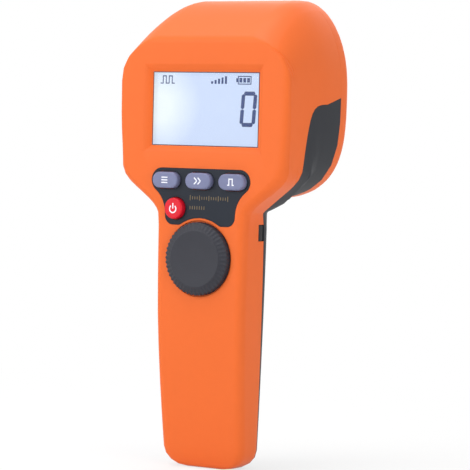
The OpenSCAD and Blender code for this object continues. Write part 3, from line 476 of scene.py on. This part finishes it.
def zero(form, x, z, height, stroke, lean):
    """Adds a seven-segment 0 that leans to the right."""
    half = height / 2
    wide = height * 0.2
    upright = half - stroke * 0.65
    level = 2 * wide - stroke * 0.2
    segments = [(0, half - stroke / 2, level, 0), (0, stroke / 2 - half, level, 0)]
    segments += [(side * wide, rise * upright / 2, upright, 90) for side in (-1, 1) for rise in (-1, 1)]
    for dx, dz, length, angle in segments:
        verts = bar(form, dx, dz, length, stroke, angle)
        for vert in verts:
            vert.co.x += vert.co.z * math.tan(math.radians(lean))
        shift(form, verts, x, 0, z)


class DressHousing(bpy.types.Operator):
    """Make the front shell, the rear shell, the lamp bezel and the rubber port cover"""

    bl_idname = "stroboscope.housing"
    bl_label = "Housing"

    def execute(self, context):
        sizes = context.scene.stroboscope_sizes
        for node, finish in (("front_shell", "housing_orange"), ("rear_shell", "housing_dark"),
                             ("lamp_bezel", "housing_orange")):
            form = cad_form(node)
            if node == "lamp_bezel":
                ease_strips(form, narrow=1.2 * MM, wide=16 * MM, top=190 * MM)
            round_edges(form, sizes.edge, 42)
            add_piece(form, node + "_moulding", finish, CASE, [node], even=50)
        form = cad_form("port_cover")
        round_edges(form, 0.5 * MM, 30, segments=3)
        add_piece(form, "port_cover_plug", "seal_rubber", "port_plug", ["port_cover"])
        return {"FINISHED"}


class DressLamp(bpy.types.Operator):
    """Make the lens, its gasket, the reflector and the emitters"""

    bl_idname = "stroboscope.lamp"
    bl_label = "Lamp"

    def execute(self, context):
        for node, finish, edge in (("lens", "lens_clear", 0.4), ("lens_gasket", "seal_rubber", 0.15),
                                   ("reflector", "mirror_film", 0.12), ("led_emitters", "emitter", 0.1)):
            form = cad_form(node)
            round_edges(form, edge * MM, 40)
            add_piece(form, node + "_finished", finish, CASE, [node])
        return {"FINISHED"}


class DressDisplay(bpy.types.Operator):
    """Make the window, the lit cell and what it shows"""

    bl_idname = "stroboscope.display"
    bl_label = "Display"

    def execute(self, context):
        sizes = context.scene.stroboscope_sizes
        for node, name, finish in (("lcd_window", "display_window", "window_clear"),
                                   ("lcd_glass", "display_cell", "display_cell")):
            form = cad_form(node)
            round_edges(form, 0.15 * MM, 40)
            add_piece(form, name, finish, CASE, [node])
        self.readout(sizes)
        # Dark line round the window: painted shadow of the gap between the frame and the window.
        self.border(sizes)
        return {"FINISHED"}

    def readout(self, sizes):
        """Large digit at the right, with a row of signs above it."""
        low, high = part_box("lcd_glass")
        middle = (low + high) / 2
        row = middle.z + 13.7 * MM
        form = bmesh.new()
        zero(form, middle.x + 22.7 * MM, middle.z + 0.3 * MM, sizes.digit, sizes.stroke, lean=4)
        self.level(form, middle.x + 6.2 * MM, row)
        self.battery(form, middle.x + 20.3 * MM, row)
        self.pulses(form, middle.x - 22.6 * MM, row)
        thicken(form, sizes.print_t, low.y - sizes.print_t)
        add_piece(form, "display_readout", "print_segment", CASE)

    def border(self, sizes):
        """Thin dark line on the window along the edge of the shell's frame: painted shadow of the gap
        between the frame and the window.
        """
        low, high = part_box("lcd_window")
        middle = (low + high) / 2
        width = high.x - low.x - 2 * sizes.lap
        height = high.z - low.z - 2 * sizes.lap
        line = sizes.border
        form = bmesh.new()
        for side in (-1, 1):
            plate(form, middle.x + side * (width - line) / 2, middle.z, line, height)
            plate(form, middle.x, middle.z + side * (height - line) / 2, width - 2 * line, line)
        thicken(form, sizes.print_t, low.y - PROUD * sizes.print_t)
        add_piece(form, "window_painted_shadow", "overlay_dark", CASE)

    def battery(self, form, x, z):
        """Battery sign with its nub at the left and three bars."""
        line = 0.45 * MM
        width = 7.4 * MM
        height = 4 * MM
        nub = 0.45 * height
        charge = 1.5 * MM
        pitch = 2.1 * MM
        for side in (-1, 1):
            plate(form, x, z + side * (height - line) / 2, width, line)
            plate(form, x + side * (width - line) / 2, z, line, height - 2 * line)
        plate(form, x - width / 2 - line, z, 2 * line, nub)
        for k in (-1, 0, 1):
            plate(form, x + k * pitch, z, charge, height - 4.2 * line)

    def level(self, form, x, z):
        """Five rising bars."""
        foot = z - 1.8 * MM
        width = 1.1 * MM
        pitch = 1.9 * MM
        for k in range(5):
            tall = (1.2 + 0.6 * k) * MM
            plate(form, x + (k - 2) * pitch, foot + tall / 2, width, tall)

    def pulses(self, form, x, z):
        """Two square pulses."""
        line = 0.5 * MM
        height = 3.4 * MM
        step = 1.7 * MM
        for k in range(5):
            level = z + (height / 2 if k % 2 else -height / 2)
            plate(form, x + (k - 2) * step, level, step - line, line)
        for k in range(4):
            plate(form, x + (k - 1.5) * step, z, line, height + line)


class DressKeypad(bpy.types.Operator):
    """Make the overlay, the keys and the marks on them"""

    bl_idname = "stroboscope.keypad"
    bl_label = "Keypad"

    def execute(self, context):
        sizes = context.scene.stroboscope_sizes
        form = cad_form("keypad_overlay")
        round_edges(form, 0.12 * MM, 40)
        add_piece(form, "keypad_film", "overlay_dark", CASE, ["keypad_overlay"])
        marks = {"mode": self.menu, "range": self.chevrons, "pulse": self.pulse, "power": self.power}
        for key, finish in KEY_FINISHES.items():
            node = key + "_key"
            body = key + "_button"
            add_piece(cad_form(node), node + "_cap", finish, body, [node], sharp=50)
            low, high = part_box(node)
            middle = (low + high) / 2
            size = sizes.power_icon if key == "power" else sizes.icon
            form = bmesh.new()
            marks[key](form, middle.x, middle.z, size)
            thicken(form, sizes.print_t, low.y - PROUD * sizes.print_t)
            add_piece(form, node + "_mark", "print_white", body)
        self.ticks(sizes)
        return {"FINISHED"}

    def menu(self, form, x, z, size):
        """Three bars of a menu sign."""
        for k in (-1, 0, 1):
            plate(form, x, z + k * size * 0.36, size, size * 0.16)

    def chevrons(self, form, x, z, size):
        """Double chevron."""
        for dx in (-0.3, 0.3):
            for way in (-1, 1):
                bar(form, x + dx * size, z + way * size * 0.23, size * 0.68, size * 0.18, -45 * way)

    def pulse(self, form, x, z, size):
        """Square pulse."""
        line = size * 0.17
        for side in (-1, 1):
            plate(form, x + side * size * 0.27, z, line, size)
            plate(form, x + side * size * 0.44, z - size / 2 + line / 2, line, line)
        plate(form, x, z + size / 2 - line / 2, size * 0.54 - line, line)

    def power(self, form, x, z, size):
        """Ring that is open at the top, and a bar in the gap."""
        radius = size * 0.5
        line = size * 0.15
        half_gap = 38
        start = form.verts.new((0, 0, radius))
        end = form.verts.new((0, 0, radius - line))
        edge = form.edges.new((start, end))
        turn(form, [start, end], half_gap, "Y")
        bmesh.ops.spin(form, geom=[edge, start, end], cent=(0, 0, 0), axis=(0, 1, 0), dvec=(0, 0, 0),
                       angle=math.radians(360 - 2 * half_gap), steps=40, use_duplicate=False)
        shift(form, form.verts, x, 0, z - size * 0.06)
        plate(form, x, z + size * 0.28, line, size * 0.62)

    def ticks(self, sizes):
        """Two rows of plain scale ticks in the free part of the overlay."""
        left = -5.4 * MM
        pitch = 1.3 * MM
        width = 0.3 * MM
        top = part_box("keypad_overlay")[0].y
        z = sum(corner.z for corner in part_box("power_key")) / 2
        form = bmesh.new()
        for k in range(17):
            tall = 2.4 * MM if k % 4 == 0 else 1.4 * MM
            plate(form, left + k * pitch, z + 5.2 * MM, width, tall)
        for k in range(7):
            plate(form, left + k * pitch, z + 0.6 * MM, width, 1.6 * MM)
        thicken(form, sizes.print_t, top - PROUD * sizes.print_t)
        add_piece(form, "overlay_scale", "print_scale", CASE)


class DressDial(bpy.types.Operator):
    """Make the fluted setting dial"""

    bl_idname = "stroboscope.dial"
    bl_label = "Dial"

    def execute(self, context):
        add_piece(cad_form("dial"), "dial_knob", "dial_dark", "setting_dial", ["dial"], sharp=60)
        return {"FINISHED"}


class DressScrews(bpy.types.Operator):
    """Make the screws that show, with their cross recesses"""

    bl_idname = "stroboscope.screws"
    bl_label = "Screws"

    def execute(self, context):
        for node in ("housing_screws", "bezel_screws"):
            self.screws(node)
        return {"FINISHED"}

    def screws(self, node):
        """Gives a group of screws a cross recess in each head, seen from +Y."""
        head_area = 12 * MM * MM
        form = cad_form(node)
        heads = [f for f in form.faces if f.normal.y > 0.99 and f.calc_area() > head_area]
        for head in heads:
            self.recess(form, head)
        round_edges(form, 0.2 * MM, 60)
        add_piece(form, node + "_driven", "screw_steel", CASE, [node])

    def recess(self, form, head):
        """Cuts a head's top with eight planes and sinks the cross between them."""
        middle = head.calc_center_median()
        arm = 1.5 * MM
        half = 0.32 * MM
        depth = 0.9 * MM
        faces = [head]
        for axis in (Vector((1, 0, 0)), Vector((0, 0, 1))):
            for offset in (-arm, -half, half, arm):
                edges = {e for f in faces for e in f.edges}
                verts = {v for f in faces for v in f.verts}
                made = bmesh.ops.bisect_plane(form, geom=list(verts) + list(edges) + faces,
                                              plane_co=middle + axis * offset, plane_no=axis)
                faces = [g for g in made["geom"] if isinstance(g, bmesh.types.BMFace)]
        cross = []
        for face in faces:
            away = face.calc_center_median() - middle
            inside = abs(away.x) < arm and abs(away.z) < arm
            if inside and min(abs(away.x), abs(away.z)) < half:
                cross.append(face)
        made = bmesh.ops.extrude_face_region(form, geom=cross)
        floor = [g for g in made["geom"] if isinstance(g, bmesh.types.BMVert)]
        bmesh.ops.delete(form, geom=cross, context="FACES_ONLY")
        shift(form, floor, 0, -depth, 0)


class DressInside(bpy.types.Operator):
    """Give every CAD node that stays its own finish"""

    bl_idname = "stroboscope.inside"
    bl_label = "Inside"

    def execute(self, context):
        for entry in frame["record"]["subparts"]:
            node = frame["nodes"][entry["node"]]
            node.data.materials.clear()
            node.data.materials.append(finishes[entry["material_slot"]])
        return {"FINISHED"}


class DressStage(bpy.types.Operator):
    """Make the floor, the lamps, the surroundings and the camera"""

    bl_idname = "stroboscope.stage"
    bl_label = "Stage"

    def execute(self, context):
        scene = context.scene
        scene.view_settings.view_transform = "Standard"
        self.floor(scene)
        self.surroundings(scene)
        self.lamp(scene, "key_light", place=(-0.62, -1.0, 0.6), size=0.9, power=7.7)
        self.lamp(scene, "side_light", place=(1.15, -0.35, 0.45), size=0.8, power=4.4)
        self.lamp(scene, "top_light", place=(-0.2, -0.1, 1.2), size=0.8, power=7.4)
        self.lamp(scene, "rear_light", place=(-0.3, 1.2, 0.5), size=0.9, power=4.0)
        self.camera(scene)
        return {"FINISHED"}

    def floor(self, scene):
        """Pale floor that keeps the shadow and looks nearly white to the camera."""
        below = 0.3 * MM
        form = bmesh.new()
        bmesh.ops.create_grid(form, x_segments=1, y_segments=1, size=4)
        shift(form, form.verts, 0, 0, -below)
        mesh = bpy.data.meshes.new("floor")
        form.to_mesh(mesh)
        form.free()
        floor = bpy.data.objects.new("floor", mesh)
        scene.collection.objects.link(floor)
        paint = Paint("pale_floor", base_color=(0.85, 0.85, 0.85), roughness=0.9, specular_ior_level=0)
        glow = paint.node("ShaderNodeEmission", {}, {"Color": (1, 1, 1), "Strength": 1})
        near = paint.node("ShaderNodeMapping", {}, {"Vector": paint.place, "Scale": (2.2, 2.2, 2.2)})
        ball = paint.node("ShaderNodeTexGradient", {"gradient_type": "SPHERICAL"}, {"Vector": near}, "Fac")
        white = paint.white_rays() * (1 - ball * 0.3)
        shaded = Flow(paint, paint.shader.outputs[0])
        mix = paint.node("ShaderNodeMixShader", {}, {0: white, 1: shaded, 2: glow})
        paint.plug(paint.tree.nodes["Material Output"].inputs["Surface"], mix)
        mesh.materials.append(paint.material)

    def surroundings(self, scene):
        """White to the camera and in reflections, and an even soft light elsewhere."""
        world = bpy.data.worlds.new("soft_box")
        world.use_nodes = True
        scene.world = world
        sky = Nodes(world.node_tree)
        sky.tree.nodes.remove(sky.tree.nodes["Background"])
        soft = sky.node("ShaderNodeBackground", {}, {"Color": (1, 1, 1), "Strength": 0.5})
        white = sky.node("ShaderNodeBackground", {}, {"Color": (1, 1, 1), "Strength": 1})
        mix = sky.node("ShaderNodeMixShader", {}, {0: sky.white_rays(), 1: soft, 2: white})
        sky.plug(sky.tree.nodes["World Output"].inputs["Surface"], mix)

    def lamp(self, scene, name, place, size, power):
        """A square soft lamp that points at the object."""
        target = Vector((0, 0, 0.12))
        data = bpy.data.lights.new(name, "AREA")
        data.energy = power
        data.size = size
        lamp = bpy.data.objects.new(name, data)
        scene.collection.objects.link(lamp)
        aim = (target - Vector(place)).to_track_quat("-Z", "Y")
        lamp.matrix_world = Matrix.Translation(place) @ aim.to_matrix().to_4x4()

    def camera(self, scene):
        """Camera at the photograph's angle, for a frame of 470 by 470 pixels."""
        azimuth = math.radians(32.16)
        lift = math.radians(2.29)
        roll = math.radians(1.45)
        target = Vector((19.82, -13.65, 111)) * MM
        distance = 1.123
        frame_pixels = 470
        focal_pixels = 2425
        sensor = 36
        level = Vector((math.sin(azimuth), -math.cos(azimuth), 0))
        back = level * math.cos(lift) + Vector((0, 0, math.sin(lift)))
        right = Vector((math.cos(azimuth), math.sin(azimuth), 0))
        up = back.cross(right)
        across = right * math.cos(roll) + up * math.sin(roll)
        rise = up * math.cos(roll) - right * math.sin(roll)
        data = bpy.data.cameras.new("photo_camera")
        data.sensor_width = sensor
        data.lens = focal_pixels / frame_pixels * sensor
        camera = bpy.data.objects.new("photo_camera", data)
        scene.collection.objects.link(camera)
        turned = Matrix((across, rise, back)).transposed().to_4x4()
        camera.matrix_world = Matrix.Translation(target + back * distance) @ turned
        scene.camera = camera


class StroboscopePanel(bpy.types.Panel):
    """The stroboscope's pieces, sizes and colours"""

    bl_idname = "VIEW3D_PT_stroboscope"
    bl_label = "Stroboscope"
    bl_space_type = "VIEW_3D"
    bl_region_type = "UI"
    bl_category = "Stroboscope"

    def draw(self, context):
        for operator in OPERATORS:
            self.layout.operator(operator.bl_idname)
        for group in (context.scene.stroboscope_sizes, context.scene.stroboscope_colours):
            for key in group.__annotations__:
                self.layout.prop(group, key)


OPERATORS = (DressHousing, DressLamp, DressDisplay, DressKeypad, DressDial, DressScrews, DressInside,
             DressStage)
CLASSES = (StroboscopeColours, StroboscopeSizes, *OPERATORS, StroboscopePanel)


def register():
    for cls in CLASSES:
        bpy.utils.register_class(cls)
    bpy.types.Scene.stroboscope_colours = PointerProperty(type=StroboscopeColours)
    bpy.types.Scene.stroboscope_sizes = PointerProperty(type=StroboscopeSizes)


def unregister():
    del bpy.types.Scene.stroboscope_sizes
    del bpy.types.Scene.stroboscope_colours
    for cls in reversed(CLASSES):
        bpy.utils.unregister_class(cls)


def main():
    register()
    make_finishes(bpy.context.scene.stroboscope_colours)
    bpy.ops.stroboscope.housing()
    bpy.ops.stroboscope.lamp()
    bpy.ops.stroboscope.display()
    bpy.ops.stroboscope.keypad()
    bpy.ops.stroboscope.dial()
    bpy.ops.stroboscope.screws()
    bpy.ops.stroboscope.inside()
    bpy.ops.stroboscope.stage()
    bpy.context.view_layer.update()


if __name__ == "__main__":
    main()
